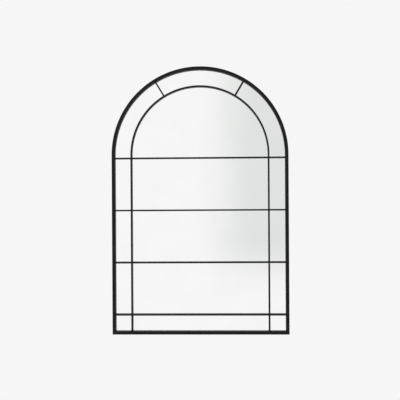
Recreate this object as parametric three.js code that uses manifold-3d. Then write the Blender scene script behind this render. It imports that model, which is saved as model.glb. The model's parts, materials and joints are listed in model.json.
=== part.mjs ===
// Arched window mirror: a black steel frame with a round top, a grid of flat bars in front of one arched
// sheet of mirror glass, and a backed, clipped and hung rear side.
//
// Millimetres. +X is to the viewer's right, +Y runs from the viewer to the wall and +Z is up. The origin is
// at the middle of the underside. While the pieces are made, depths count from the front face of the frame;
// the assembly is then moved so that its depth is centred on the origin.

import * as THREE from 'three';
import { mergeVertices } from 'three/addons/utils/BufferGeometryUtils.js';
import Module from 'manifold-3d';

const wasm = await Module();
wasm.setup();

// ---------------------------------------------------------------- driving dimensions

// Outline: a half circle as wide as the frame, on straight sides.
const OVERALL_WIDTH = 800;
const SPRING_HEIGHT = 812; // centre of the arches above the underside
const ARC_SEGMENTS = 96; // straight steps in each half circle

// Frame section: a hollow front with a flange behind it that forms the rebate.
const FRAME_FACE = 15;
const FRAME_HOLLOW_DEPTH = 15;
const FRAME_WALL = 1.5;
const FLANGE_THICKNESS = 2;
const FLANGE_DEPTH = 12;

// Flat bars in front of the glass.
const BAR_FACE = 7;
const BORDER = 70.5; // clear width between the frame and the inner arch, uprights and lowest crossbar
const CROSSBARS = ['base', 'lower', 'upper', 'spring']; // from the bottom, evenly spaced
const CROSSBAR_DROP = 10; // from the spring line to the top edge of the highest crossbar
const LAP_DEPTH = 7.5; // what each bar keeps where two cross
const RADIAL_BAR_ANGLE = 31; // degrees from the vertical, seen from the arches' centre
const WELD_GAP = 0.3; // at the turned ends of the radial bars

// Glass and what backs it.
const GLASS_THICKNESS = 4;
const GLASS_INSET = 11.5; // from the outer face of the frame to the edge of the glass
const TAPE_THICKNESS = 1;
const TAPE_WIDTH = 19;
const TAPE_BOTTOM = 60;
const TAPE_DROP = 52; // from the spring line to the tapes' upper ends
const TAPE_INSET = 150; // from the outer face of the frame to the middle of an outer tape
const BOARD_THICKNESS = 3;
const BLOCK_WIDTH = 40;
const BLOCK_INSET = 120; // from the outer face of the frame to a block's middle

// Offset clips and brackets, bent from strip.
const FOOT_GAP = 0.25; // between a foot and the flange
const RISER_GAP = 0.5; // between a riser and the edge of the board
const CLIP_THICKNESS = 1.2;
const CLIP_WIDTH = 16;
const CLIP_REACH = 8; // over the board
const STILE_CLIPS = { count: 2, first: 160, pitch: 330 };
const RAIL_CLIPS = { count: 2, pitch: 300 };
const ARCH_CLIPS = 4;
const BRACKET_THICKNESS = 2;
const BRACKET_WIDTH = 60;
const BRACKET_REACH = 29;
const BRACKET_SCREW_PITCH = 40;
const BRACKET_DROP = 26.5; // from the rings' axis to a bracket's middle

// Pan-head screws with a cross recess.
const SCREW_RADIUS = 1.75;
const SCREW_LENGTH = 6.5;
const SCREW_TIP = 1.5;
const SCREW_HEAD_RADIUS = 3;
const SCREW_HEAD_HEIGHT = 2.2;
const SCREW_HOLE_CLEARANCE = 0.2;
const RECESS_LENGTH = 3.4;
const RECESS_WIDTH = 0.9;
const RECESS_DEPTH = 1.2;

// Hangers: a strap whose top end is rolled round the straight side of a D-ring.
const HANGER_DROP = 22; // from the spring line to the rings' axis
const HANGER_INSET = 25; // from the outer face of the frame to the strap's middle
const STRAP_THICKNESS = 1.2;
const STRAP_WIDTH = 14;
const STRAP_LENGTH = 50; // below the rings' axis
const STRAP_CORNER = 3;
const KNUCKLE_OPENING = 70; // degrees left open between the rolled end and the strap
const RING_WIRE_RADIUS = 1.6;
const RING_CLEARANCE = 0.3;
const RING_WIDTH = 23.2; // between the wire's middle lines
const RING_STRAIGHT = 5; // of its sides, before the round end
const RING_CORNER = 2.5;
const RIVET_RISE = 9; // of the lower rivet above the strap's lower end
const RIVET_PITCH = 14;
const RIVET_RADIUS = 2;
const RIVET_HEAD_RADIUS = 3.5;
const RIVET_HEAD_HEIGHT = 1.6;
const RIVET_CLEARANCE = 0.1;

// Wall bumpers: tapered rubber buttons on the board.
const BUMPER_RADIUS = 8;
const BUMPER_TOP_RADIUS = 6.5;
const BUMPER_HEIGHT = 9;
const BUMPER_INSET = 70; // from the outer face of the frame to a bumper's middle
const BUMPER_RISE = 60; // of the lower pair above the underside
const BUMPER_DROP = 112; // of the upper pair below the spring line

// ---------------------------------------------------------------- sizes that follow

const GLASS_FRONT = FRAME_HOLLOW_DEPTH;
const TAPE_FRONT = GLASS_FRONT + GLASS_THICKNESS;
const BOARD_FRONT = TAPE_FRONT + TAPE_THICKNESS;
const BOARD_BACK = BOARD_FRONT + BOARD_THICKNESS;
const FRAME_DEPTH = FRAME_HOLLOW_DEPTH + FLANGE_DEPTH;
const OVERALL_DEPTH = BOARD_BACK + BUMPER_HEIGHT;
const HALF_WIDTH = OVERALL_WIDTH / 2;
const OPENING_HALF = HALF_WIDTH - FRAME_FACE;
const INNER_ARCH_RADIUS = OPENING_HALF - BORDER;
const UPRIGHT_INNER = INNER_ARCH_RADIUS - BAR_FACE;
const BAR_BACK = FRAME_HOLLOW_DEPTH;
const HANGER_HEIGHT = SPRING_HEIGHT - HANGER_DROP;
const LOWER_RIVET_DROP = STRAP_LENGTH - RIVET_RISE; // below the rings' axis
const RIVET_DROPS = [LOWER_RIVET_DROP - RIVET_PITCH, LOWER_RIVET_DROP];
const STRAP_FRONT = BOARD_BACK + BRACKET_THICKNESS;
const STRAP_BACK = STRAP_FRONT + STRAP_THICKNESS;
const KNUCKLE_BORE = RING_WIRE_RADIUS + RING_CLEARANCE;
const RING_AXIS_DEPTH = STRAP_BACK + KNUCKLE_BORE;
const SIDES = { left: -1, right: 1 };
const QUARTER_TURN = Math.PI / 2;

// ---------------------------------------------------------------- finishes

const FINISHES = {
  blackPaint: { color: 0x1c1c1d, roughness: 0.45, metalness: 0.1 },
  mirror: { color: 0xdfe4e3, roughness: 0.03, metalness: 1 },
  hardboard: { color: 0x8a6a48, roughness: 0.85, metalness: 0 },
  foam: { color: 0xd8d8d4, roughness: 0.95, metalness: 0 },
  rubber: { color: 0x2b2b2c, roughness: 0.8, metalness: 0 },
  zincPlate: { color: 0xa9abad, roughness: 0.35, metalness: 1 },
};

const assembly = new THREE.Group();
assembly.position.y = -OVERALL_DEPTH / 2;

/** Adds one named piece to the assembly and returns it, so that it can be placed. */
function addPiece(name, geometry, finish) {
  const mesh = new THREE.Mesh(geometry, new THREE.MeshStandardMaterial(FINISHES[finish]));
  mesh.name = name;
  assembly.add(mesh);
  return mesh;
}

// ---------------------------------------------------------------- solids

/** The geometry as a solid: equal corners merged, collapsed triangles dropped. */
function solidOf(geometry) {
  const bare = geometry.clone();
  bare.deleteAttribute('normal');
  bare.deleteAttribute('uv');
  const merged = mergeVertices(bare);
  const index = merged.index.array;
  const triangles = [];
  for (let i = 0; i < index.length; i += 3) {
    const [a, b, c] = index.slice(i, i + 3);
    if (a !== b && b !== c && c !== a) triangles.push(a, b, c);
  }
  const vertProperties = new Float32Array(merged.attributes.position.array);
  const triVerts = new Uint32Array(triangles);
  return new wasm.Manifold(new wasm.Mesh({ numProp: 3, vertProperties, triVerts }));
}

/** A solid as a geometry with flat faces. */
function geometryOf(solid) {
  const { vertProperties, triVerts } = solid.getMesh();
  const geometry = new THREE.BufferGeometry();
  geometry.setAttribute('position', new THREE.BufferAttribute(vertProperties, 3));
  geometry.setIndex(new THREE.BufferAttribute(triVerts, 1));
  return geometry;
}

/** A box given by its lowest and highest corners. */
function boxSolid(low, high) {
  const size = high.map((value, axis) => value - low[axis]);
  const middle = high.map((value, axis) => (value + low[axis]) / 2);
  return solidOf(new THREE.BoxGeometry(...size).translate(...middle));
}

/** A cylinder along the depth, between two depths. */
function pinSolid(radius, front, back, x, z) {
  const geometry = new THREE.CylinderGeometry(radius, radius, back - front, 16);
  return solidOf(geometry.translate(x, (front + back) / 2, z));
}

/** An outline drawn in the plane of the mirror, (x, z), given a thickness from one depth to another. */
function plateGeometry(shape, front, back) {
  const settings = { depth: back - front, bevelEnabled: false, curveSegments: ARC_SEGMENTS / 2 };
  return new THREE.ExtrudeGeometry(shape, settings).rotateX(QUARTER_TURN).translate(0, back, 0);
}

/** A section drawn in (x, depth) and carried along z, with its length centred. */
function stripGeometry(shape, length) {
  const settings = { depth: length, bevelEnabled: false };
  return new THREE.ExtrudeGeometry(shape, settings).translate(0, 0, -length / 2);
}

/** A profile of [radius, depth] points turned about the depth axis. */
function turnedGeometry(profile, segments) {
  const points = profile.map(([radius, depth]) => new THREE.Vector2(radius, depth));
  return new THREE.LatheGeometry(points, segments);
}

/** A closed outline through the given points. */
function polygonShape(points) {
  return new THREE.Shape(points.map(([x, y]) => new THREE.Vector2(x, y)));
}

/** Draws the mirror's arched outline, moved inwards by an inset. */
function drawArchedOutline(path, inset) {
  const half = HALF_WIDTH - inset;
  path.moveTo(-half, inset);
  path.lineTo(half, inset);
  path.lineTo(half, SPRING_HEIGHT);
  path.absarc(0, SPRING_HEIGHT, half, 0, Math.PI, false);
  path.closePath();
  return path;
}

/** The closed band between two insets of the arched outline. */
function archedBand(outerInset, innerInset, front, back) {
  const shape = drawArchedOutline(new THREE.Shape(), outerInset);
  shape.holes.push(drawArchedOutline(new THREE.Path(), innerInset));
  return solidOf(plateGeometry(shape, front, back));
}

/** A half ring about the arches' centre, standing on the spring line. */
function halfRingShape(outerRadius, innerRadius) {
  const shape = new THREE.Shape();
  shape.moveTo(outerRadius, SPRING_HEIGHT);
  shape.absarc(0, SPRING_HEIGHT, outerRadius, 0, Math.PI, false);
  shape.lineTo(-innerRadius, SPRING_HEIGHT);
  shape.absarc(0, SPRING_HEIGHT, innerRadius, Math.PI, 0, true);
  shape.closePath();
  return shape;
}

// ---------------------------------------------------------------- places round the frame

// A place is a point on the frame's outer face, with the angle of its outward direction from +X to +Z.

/** The places of the retaining clips: up each stile, along the bottom rail and round the arch. */
function clipPlaces() {
  const places = [];
  for (const [side, sign] of Object.entries(SIDES)) {
    for (let i = 0; i < STILE_CLIPS.count; i += 1) {
      const z = STILE_CLIPS.first + i * STILE_CLIPS.pitch;
      places.push({ name: `stile_${side}_${i + 1}`, x: sign * HALF_WIDTH, z, angle: sign > 0 ? 0 : Math.PI });
    }
  }
  for (let i = 0; i < RAIL_CLIPS.count; i += 1) {
    const x = (i - (RAIL_CLIPS.count - 1) / 2) * RAIL_CLIPS.pitch;
    places.push({ name: `rail_${i + 1}`, x, z: 0, angle: -QUARTER_TURN });
  }
  for (let i = 0; i < ARCH_CLIPS; i += 1) {
    const angle = (Math.PI * (i + 0.5)) / ARCH_CLIPS;
    const x = HALF_WIDTH * Math.cos(angle);
    const z = SPRING_HEIGHT + HALF_WIDTH * Math.sin(angle);
    places.push({ name: `arch_${i + 1}`, x, z, angle });
  }
  return places;
}

/** The places of the hanger brackets' middles, and of the two screws through each. */
function bracketPlaces() {
  return Object.entries(SIDES).map(([side, sign]) => ({
    name: side,
    x: sign * HALF_WIDTH,
    z: HANGER_HEIGHT - BRACKET_DROP,
    angle: sign > 0 ? 0 : Math.PI,
  }));
}

/** How far in from the outer face a screw goes through a foot: midway between flange and riser. */
function screwInset(thickness) {
  return (FLANGE_THICKNESS + FOOT_GAP + GLASS_INSET - RISER_GAP - thickness) / 2;
}

/** The point that lies a way in from a place, and a way along its rail. */
function pointAt(place, inset, along = 0) {
  const x = place.x - inset * Math.cos(place.angle) - along * Math.sin(place.angle);
  const z = place.z - inset * Math.sin(place.angle) + along * Math.cos(place.angle);
  return { x, z };
}

/** Puts a piece that was made with its outer face on x = 0 at a place. */
function seatAt(mesh, place, along = 0) {
  const { x, z } = pointAt(place, 0, along);
  mesh.position.set(x, 0, z);
  mesh.rotation.y = -place.angle;
}

const CLIP_PLACES = clipPlaces();
const BRACKET_PLACES = bracketPlaces();
const BRACKET_SCREW_OFFSETS = [-BRACKET_SCREW_PITCH / 2, BRACKET_SCREW_PITCH / 2];

/** Every screw: its name, place, and the thickness of what it holds down. */
function screwSeats() {
  const seats = CLIP_PLACES.map((place) => ({
    name: `clip_screw_${place.name}`,
    ...pointAt(place, screwInset(CLIP_THICKNESS)),
    thickness: CLIP_THICKNESS,
  }));
  for (const place of BRACKET_PLACES) {
    for (const [i, along] of BRACKET_SCREW_OFFSETS.entries()) {
      seats.push({
        name: `bracket_screw_${place.name}_${i + 1}`,
        ...pointAt(place, screwInset(BRACKET_THICKNESS), along),
        thickness: BRACKET_THICKNESS,
      });
    }
  }
  return seats;
}

const SCREW_SEATS = screwSeats();

// ---------------------------------------------------------------- frame

/** The whole frame as one closed ring: hollow front, flange and screw holes. */
function frameRing() {
  const hollow = archedBand(
    FRAME_WALL, FRAME_FACE - FRAME_WALL, FRAME_WALL, FRAME_HOLLOW_DEPTH - FRAME_WALL);
  let ring = archedBand(0, FRAME_FACE, 0, FRAME_HOLLOW_DEPTH)
    .add(archedBand(0, FLANGE_THICKNESS, 0, FRAME_DEPTH))
    .subtract(hollow);
  for (const seat of SCREW_SEATS) {
    const radius = SCREW_RADIUS + SCREW_HOLE_CLEARANCE;
    const front = FRAME_HOLLOW_DEPTH - 2 * FRAME_WALL;
    ring = ring.subtract(pinSolid(radius, front, FRAME_HOLLOW_DEPTH + FRAME_WALL, seat.x, seat.z));
  }
  return ring;
}

/** Cuts the ring into its four members: the arch, two stiles, and a bottom rail mitred to them. */
function addFrame() {
  const ring = frameRing();
  const out = HALF_WIDTH + FRAME_FACE;
  const over = HALF_WIDTH - 2 * FRAME_FACE; // inside the frame's inner corner, along the mitre
  const top = SPRING_HEIGHT + out;
  const left = [[-out, -FRAME_FACE], [-over, 2 * FRAME_FACE], [-over, SPRING_HEIGHT], [-out, SPRING_HEIGHT]];
  const members = {
    frame_arch: [[-out, SPRING_HEIGHT], [out, SPRING_HEIGHT], [out, top], [-out, top]],
    frame_stile_left: left,
    frame_stile_right: left.map(([x, z]) => [-x, z]),
    frame_bottom_rail: [
      [-out, -FRAME_FACE], [out, -FRAME_FACE], [over, 2 * FRAME_FACE], [-over, 2 * FRAME_FACE]],
  };
  for (const [name, outline] of Object.entries(members)) {
    const region = solidOf(plateGeometry(polygonShape(outline), -FRAME_FACE, FRAME_DEPTH + FRAME_FACE));
    addPiece(name, geometryOf(ring.intersect(region)), 'blackPaint');
  }
}

// ---------------------------------------------------------------- bars

/** The name and top edge of each crossbar, evenly spaced from the border's height to the spring line. */
function crossbarTops() {
  const lowest = FRAME_FACE + BORDER + BAR_FACE;
  const pitch = (SPRING_HEIGHT - CROSSBAR_DROP - lowest) / (CROSSBARS.length - 1);
  return CROSSBARS.map((name, i) => ({ name, top: lowest + i * pitch }));
}

const CROSSBAR_TOPS = crossbarTops();

/** The two inner uprights, notched at the front where the crossbars lie over them. */
function addInnerUprights() {
  for (const [side, sign] of Object.entries(SIDES)) {
    const [low, high] = sign > 0 ? [UPRIGHT_INNER, INNER_ARCH_RADIUS] : [-INNER_ARCH_RADIUS, -UPRIGHT_INNER];
    let bar = boxSolid([low, 0, FRAME_FACE], [high, BAR_BACK, SPRING_HEIGHT]);
    for (const { top } of CROSSBAR_TOPS) {
      const notch = [[low - BAR_FACE, -BAR_FACE, top - BAR_FACE], [high + BAR_FACE, LAP_DEPTH, top]];
      bar = bar.subtract(boxSolid(...notch));
    }
    addPiece(`inner_upright_${side}`, geometryOf(bar), 'blackPaint');
  }
}

/** The four crossbars, notched at the back where they lie over the inner uprights. */
function addCrossbars() {
  for (const { name, top } of CROSSBAR_TOPS) {
    let bar = boxSolid([-OPENING_HALF, 0, top - BAR_FACE], [OPENING_HALF, BAR_BACK, top]);
    for (const [low, high] of [[-INNER_ARCH_RADIUS, -UPRIGHT_INNER], [UPRIGHT_INNER, INNER_ARCH_RADIUS]]) {
      const notch = [[low, LAP_DEPTH, top - 2 * BAR_FACE], [high, BAR_BACK + BAR_FACE, top + BAR_FACE]];
      bar = bar.subtract(boxSolid(...notch));
    }
    addPiece(`crossbar_${name}`, geometryOf(bar), 'blackPaint');
  }
}

/** The inner arch, and the two short bars that tie it to the frame arch. */
function addArchBars() {
  const ring = halfRingShape(INNER_ARCH_RADIUS, UPRIGHT_INNER);
  addPiece('inner_arch_bar', plateGeometry(ring, 0, BAR_BACK), 'blackPaint');
  const start = INNER_ARCH_RADIUS + WELD_GAP;
  const end = OPENING_HALF - WELD_GAP;
  for (const [side, sign] of Object.entries(SIDES)) {
    const bar = new THREE.BoxGeometry(BAR_FACE, BAR_BACK, end - start);
    bar.translate(0, BAR_BACK / 2, (start + end) / 2);
    const mesh = addPiece(`radial_bar_${side}`, bar, 'blackPaint');
    mesh.position.z = SPRING_HEIGHT;
    mesh.rotation.y = sign * THREE.MathUtils.degToRad(RADIAL_BAR_ANGLE);
  }
}

// ---------------------------------------------------------------- glass and backing

/** The mirror glass, and behind it the tapes, the board and the blocks that both stand on. */
function addGlazing() {
  const outline = drawArchedOutline(new THREE.Shape(), GLASS_INSET);
  addPiece('mirror_glass', plateGeometry(outline, GLASS_FRONT, TAPE_FRONT), 'mirror');
  addPiece('back_board', plateGeometry(outline, BOARD_FRONT, BOARD_BACK), 'hardboard');
  for (const [name, sign] of Object.entries({ left: -1, middle: 0, right: 1 })) {
    const middle = sign * (HALF_WIDTH - TAPE_INSET);
    const low = [middle - TAPE_WIDTH / 2, TAPE_FRONT, TAPE_BOTTOM];
    const high = [middle + TAPE_WIDTH / 2, BOARD_FRONT, SPRING_HEIGHT - TAPE_DROP];
    addPiece(`foam_tape_${name}`, geometryOf(boxSolid(low, high)), 'foam');
  }
  for (const [side, sign] of Object.entries(SIDES)) {
    const middle = sign * (HALF_WIDTH - BLOCK_INSET);
    const low = [middle - BLOCK_WIDTH / 2, GLASS_FRONT, FLANGE_THICKNESS];
    const high = [middle + BLOCK_WIDTH / 2, BOARD_BACK, GLASS_INSET];
    addPiece(`setting_block_${side}`, geometryOf(boxSolid(low, high)), 'rubber');
  }
}

// ---------------------------------------------------------------- clips, brackets and screws

/**
 * The offset section of a clip or bracket, with the frame's outer face on x = 0: a foot on the back of the
 * frame's hollow, a riser past the edge of glass and board, and a tongue over the board.
 */
function offsetStrip(thickness, reach, width) {
  const footEnd = -(FLANGE_THICKNESS + FOOT_GAP);
  const riserInner = -(GLASS_INSET - RISER_GAP);
  const riserOuter = riserInner + thickness;
  const tongueEnd = -(GLASS_INSET + reach);
  const shape = polygonShape([
    [footEnd, GLASS_FRONT],
    [footEnd, GLASS_FRONT + thickness],
    [riserOuter, GLASS_FRONT + thickness],
    [riserOuter, BOARD_BACK + thickness],
    [tongueEnd, BOARD_BACK + thickness],
    [tongueEnd, BOARD_BACK],
    [riserInner, BOARD_BACK],
    [riserInner, GLASS_FRONT],
  ]);
  return solidOf(stripGeometry(shape, width));
}

/** A hole for a screw through a foot, at a way along the strip. */
function footHole(thickness, along) {
  const front = GLASS_FRONT - thickness;
  const back = GLASS_FRONT + 2 * thickness;
  return pinSolid(SCREW_RADIUS + SCREW_HOLE_CLEARANCE, front, back, -screwInset(thickness), along);
}

/** The retaining clips round the rebate. */
function addClips() {
  const clip = offsetStrip(CLIP_THICKNESS, CLIP_REACH, CLIP_WIDTH).subtract(footHole(CLIP_THICKNESS, 0));
  for (const place of CLIP_PLACES) {
    seatAt(addPiece(`retaining_clip_${place.name}`, geometryOf(clip), 'zincPlate'), place);
  }
}

/** The hanger brackets, with holes for their screws and for the rivets of the straps. */
function addBrackets() {
  for (const place of BRACKET_PLACES) {
    let bracket = offsetStrip(BRACKET_THICKNESS, BRACKET_REACH, BRACKET_WIDTH);
    for (const along of BRACKET_SCREW_OFFSETS) {
      bracket = bracket.subtract(footHole(BRACKET_THICKNESS, along));
    }
    const radius = RIVET_RADIUS + RIVET_CLEARANCE;
    const front = BOARD_BACK - BRACKET_THICKNESS;
    const back = STRAP_FRONT + BRACKET_THICKNESS;
    for (const drop of RIVET_DROPS) {
      const along = (HANGER_HEIGHT - drop - place.z) * Math.cos(place.angle);
      bracket = bracket.subtract(pinSolid(radius, front, back, -HANGER_INSET, along));
    }
    seatAt(addPiece(`hanger_bracket_${place.name}`, geometryOf(bracket), 'zincPlate'), place);
  }
}

/** A pan-head screw whose head sits on a face at depth 0, with its shank pointing forwards. */
function screwGeometry() {
  const profile = [
    [0, -SCREW_LENGTH],
    [SCREW_RADIUS, SCREW_TIP - SCREW_LENGTH],
    [SCREW_RADIUS, 0],
    [SCREW_HEAD_RADIUS, 0],
    [SCREW_HEAD_RADIUS, SCREW_HEAD_HEIGHT * 0.5],
    [SCREW_HEAD_RADIUS * 0.7, SCREW_HEAD_HEIGHT],
    [0, SCREW_HEAD_HEIGHT],
  ];
  const low = SCREW_HEAD_HEIGHT - RECESS_DEPTH;
  const high = SCREW_HEAD_HEIGHT + RECESS_DEPTH;
  const [long, wide] = [RECESS_LENGTH / 2, RECESS_WIDTH / 2];
  const recess = boxSolid([-long, low, -wide], [long, high, wide]).add(
    boxSolid([-wide, low, -long], [wide, high, long]));
  return geometryOf(solidOf(turnedGeometry(profile, 16)).subtract(recess));
}

/** One screw in each clip, and two in each bracket. */
function addScrews() {
  for (const seat of SCREW_SEATS) {
    const screw = addPiece(seat.name, screwGeometry(), 'zincPlate');
    screw.position.set(seat.x, GLASS_FRONT + seat.thickness, seat.z);
  }
}

// ---------------------------------------------------------------- hangers and bumpers

/** The strap's outline seen from the front, with rounded lower corners, as thick as the knuckle and more. */
function strapOutline(knuckleRadius) {
  const half = STRAP_WIDTH / 2;
  const corner = half - STRAP_CORNER;
  const low = STRAP_CORNER - STRAP_LENGTH;
  const face = new THREE.Shape();
  face.moveTo(half, knuckleRadius + STRAP_CORNER);
  face.lineTo(-half, knuckleRadius + STRAP_CORNER);
  face.absarc(-corner, low, STRAP_CORNER, 2 * QUARTER_TURN, 3 * QUARTER_TURN, false);
  face.absarc(corner, low, STRAP_CORNER, 3 * QUARTER_TURN, 4 * QUARTER_TURN, false);
  face.closePath();
  const settings = { depth: 4 * knuckleRadius, bevelEnabled: false, curveSegments: 3 };
  return new THREE.ExtrudeGeometry(face, settings).rotateX(QUARTER_TURN).translate(0, 2 * knuckleRadius, 0);
}

/** The strap in its own frame: the ring's axis is x, and the strap hangs down from it. */
function strapGeometry() {
  const outer = KNUCKLE_BORE + STRAP_THICKNESS;
  const end = -QUARTER_TURN + THREE.MathUtils.degToRad(KNUCKLE_OPENING) / 2;
  const side = new THREE.Shape(); // drawn in (depth from the axis, height)
  side.moveTo(-outer, -STRAP_LENGTH);
  side.lineTo(-outer, 0);
  side.absarc(0, 0, outer, Math.PI, end, true);
  side.absarc(0, 0, KNUCKLE_BORE, end, Math.PI, false);
  side.lineTo(-KNUCKLE_BORE, -STRAP_LENGTH);
  side.closePath();
  const settings = { depth: STRAP_WIDTH, bevelEnabled: false, curveSegments: 12 };
  const rolled = new THREE.ExtrudeGeometry(side, settings).translate(0, 0, -STRAP_WIDTH / 2);
  const turned = new THREE.Matrix4().makeBasis(
    new THREE.Vector3(0, 1, 0), new THREE.Vector3(0, 0, 1), new THREE.Vector3(1, 0, 0));
  let strap = solidOf(rolled.applyMatrix4(turned));
  strap = strap.intersect(solidOf(strapOutline(outer)));
  for (const drop of RIVET_DROPS) {
    strap = strap.subtract(pinSolid(RIVET_RADIUS + RIVET_CLEARANCE, -2 * outer, 0, 0, -drop));
  }
  return geometryOf(strap);
}

/** The middle line of the D-ring's wire, hanging down: straight side on the axis, round end below. */
class RingPath extends THREE.CurvePath {
  constructor() {
    super();
    const half = RING_WIDTH / 2;
    const flat = half - RING_CORNER;
    const place = (x, z) => new THREE.Vector3(x, 0, z);
    this.add(new THREE.LineCurve3(place(-flat, 0), place(flat, 0)));
    this.add(new THREE.QuadraticBezierCurve3(place(flat, 0), place(half, 0), place(half, -RING_CORNER)));
    this.add(new THREE.LineCurve3(place(half, -RING_CORNER), place(half, -RING_STRAIGHT)));
    this.add(new HalfTurn(half, -RING_STRAIGHT));
    this.add(new THREE.LineCurve3(place(-half, -RING_STRAIGHT), place(-half, -RING_CORNER)));
    this.add(new THREE.QuadraticBezierCurve3(place(-half, -RING_CORNER), place(-half, 0), place(-flat, 0)));
  }
}

/** The round end of the ring: a half circle below a height, from +x to -x. */
class HalfTurn extends THREE.Curve {
  constructor(radius, height) {
    super();
    this.radius = radius;
    this.height = height;
  }

  getPoint(t, target = new THREE.Vector3()) {
    const angle = Math.PI * t;
    return target.set(this.radius * Math.cos(angle), 0, this.height - this.radius * Math.sin(angle));
  }
}

/** A domed rivet: its head behind the strap, its shank through strap and bracket to the board. */
function rivetGeometry() {
  const profile = [
    [0, BOARD_BACK],
    [RIVET_RADIUS, BOARD_BACK],
    [RIVET_RADIUS, STRAP_BACK],
    [RIVET_HEAD_RADIUS, STRAP_BACK],
    [RIVET_HEAD_RADIUS * 0.9, STRAP_BACK + RIVET_HEAD_HEIGHT * 0.5],
    [RIVET_HEAD_RADIUS * 0.55, STRAP_BACK + RIVET_HEAD_HEIGHT * 0.9],
    [0, STRAP_BACK + RIVET_HEAD_HEIGHT],
  ];
  return turnedGeometry(profile, 16);
}

/** Straps, rings and rivets on both brackets. */
function addHangers() {
  for (const [side, sign] of Object.entries(SIDES)) {
    const x = sign * (HALF_WIDTH - HANGER_INSET);
    const strap = addPiece(`hanger_strap_${side}`, strapGeometry(), 'zincPlate');
    strap.position.set(x, RING_AXIS_DEPTH, HANGER_HEIGHT);
    const wire = new THREE.TubeGeometry(new RingPath(), 60, RING_WIRE_RADIUS, 10, true);
    const ring = addPiece(`hanger_ring_${side}`, wire, 'zincPlate');
    ring.position.set(x, RING_AXIS_DEPTH, HANGER_HEIGHT);
    for (const [i, drop] of RIVET_DROPS.entries()) {
      const rivet = addPiece(`strap_rivet_${side}_${i + 1}`, rivetGeometry(), 'zincPlate');
      rivet.position.set(x, 0, HANGER_HEIGHT - drop);
    }
  }
}

/** Four rubber buttons on the board that meet the wall. */
function addBumpers() {
  const shoulder = BOARD_BACK + BUMPER_HEIGHT - (BUMPER_RADIUS - BUMPER_TOP_RADIUS);
  const profile = [
    [0, BOARD_BACK],
    [BUMPER_RADIUS, BOARD_BACK],
    [BUMPER_RADIUS, shoulder],
    [BUMPER_TOP_RADIUS, OVERALL_DEPTH],
    [0, OVERALL_DEPTH],
  ];
  for (const [level, height] of Object.entries({ lower: BUMPER_RISE, upper: SPRING_HEIGHT - BUMPER_DROP })) {
    for (const [side, sign] of Object.entries(SIDES)) {
      const bumper = addPiece(`wall_bumper_${level}_${side}`, turnedGeometry(profile, 24), 'rubber');
      bumper.position.set(sign * (HALF_WIDTH - BUMPER_INSET), 0, height);
    }
  }
}

addFrame();
addArchBars();
addInnerUprights();
addCrossbars();
addGlazing();
addClips();
addBrackets();
addScrews();
addHangers();
addBumpers();

export default assembly;
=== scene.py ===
"""Looks of an arched window mirror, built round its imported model.

Metres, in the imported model's frame: +X to the viewer's right, +Y from the viewer to the wall, +Z up, with
the origin at the middle of the underside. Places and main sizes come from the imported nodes' boxes and
joints. What they don't say, such as the radius of an edge, is a field of the class that uses it.
"""

import json
import logging
import math
from collections.abc import Callable, Mapping, Sequence
from dataclasses import dataclass
from enum import Enum
from functools import partial
from typing import Any, NamedTuple

import bmesh
import bpy
import numpy as np
from mathutils import Matrix, Vector
from numpy.typing import NDArray


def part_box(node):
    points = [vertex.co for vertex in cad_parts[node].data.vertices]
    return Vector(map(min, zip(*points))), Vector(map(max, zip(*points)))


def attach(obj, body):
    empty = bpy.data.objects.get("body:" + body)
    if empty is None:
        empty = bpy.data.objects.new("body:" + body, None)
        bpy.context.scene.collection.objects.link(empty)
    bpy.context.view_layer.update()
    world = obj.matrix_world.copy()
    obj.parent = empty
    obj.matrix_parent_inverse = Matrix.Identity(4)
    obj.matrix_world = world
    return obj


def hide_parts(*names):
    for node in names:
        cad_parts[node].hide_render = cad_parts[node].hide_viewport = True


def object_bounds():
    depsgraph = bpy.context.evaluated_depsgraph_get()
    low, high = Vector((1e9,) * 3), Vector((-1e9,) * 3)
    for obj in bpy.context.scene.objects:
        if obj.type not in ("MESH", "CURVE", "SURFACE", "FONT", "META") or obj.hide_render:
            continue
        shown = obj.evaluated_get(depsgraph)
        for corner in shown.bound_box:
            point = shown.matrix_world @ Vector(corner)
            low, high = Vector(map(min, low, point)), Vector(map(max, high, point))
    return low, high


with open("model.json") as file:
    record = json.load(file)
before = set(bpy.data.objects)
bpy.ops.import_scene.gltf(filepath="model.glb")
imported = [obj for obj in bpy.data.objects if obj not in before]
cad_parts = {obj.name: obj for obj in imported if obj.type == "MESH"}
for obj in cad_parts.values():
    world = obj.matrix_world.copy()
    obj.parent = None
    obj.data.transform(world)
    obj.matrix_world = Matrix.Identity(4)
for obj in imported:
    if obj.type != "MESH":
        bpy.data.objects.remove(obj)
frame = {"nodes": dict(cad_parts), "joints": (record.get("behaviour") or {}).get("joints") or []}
CAD_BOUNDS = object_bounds()

Array = NDArray[np.float64]
Triple = tuple[float, float, float]
Mesh = bpy.types.Mesh
Node = bpy.types.Node
Socket = bpy.types.NodeSocket
Source = Node | Socket  # what feeds an input: an output, or a node by its first output
Values = Mapping[str | int, Any]
Add = Callable[..., Node]
LOG = logging.getLogger("window_mirror")
MM = 0.001
MERGE_DISTANCE = 1e-6
QUARTER_TURN = math.pi / 2
FULL_TURN = 2 * math.pi
ROUNDING_STEPS = 4  # straight steps in the arc of a rounded edge
EDGE_STEPS = 3  # the same in the small edges of bars and strips
STRIP_CORNER_STEPS = 6  # and in the corners at a strip's ends
PLACE_DECIMALS = 7  # places along a strip that agree to these, in metres, are one
DOME_STEPS = 8  # along the curve of a domed head
TURNED_COLUMNS = 32  # points round a turned piece
NOISE_ROUGHNESS = 0.55  # how strong each finer layer of a noise is
MIX_UNDER, MIX_OVER = 6, 7  # a mix node's inputs for colours
MIXED = 2  # and its output for them
QUARTERS = 4  # of a turn, one for each arm of a screw's cross recess


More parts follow.
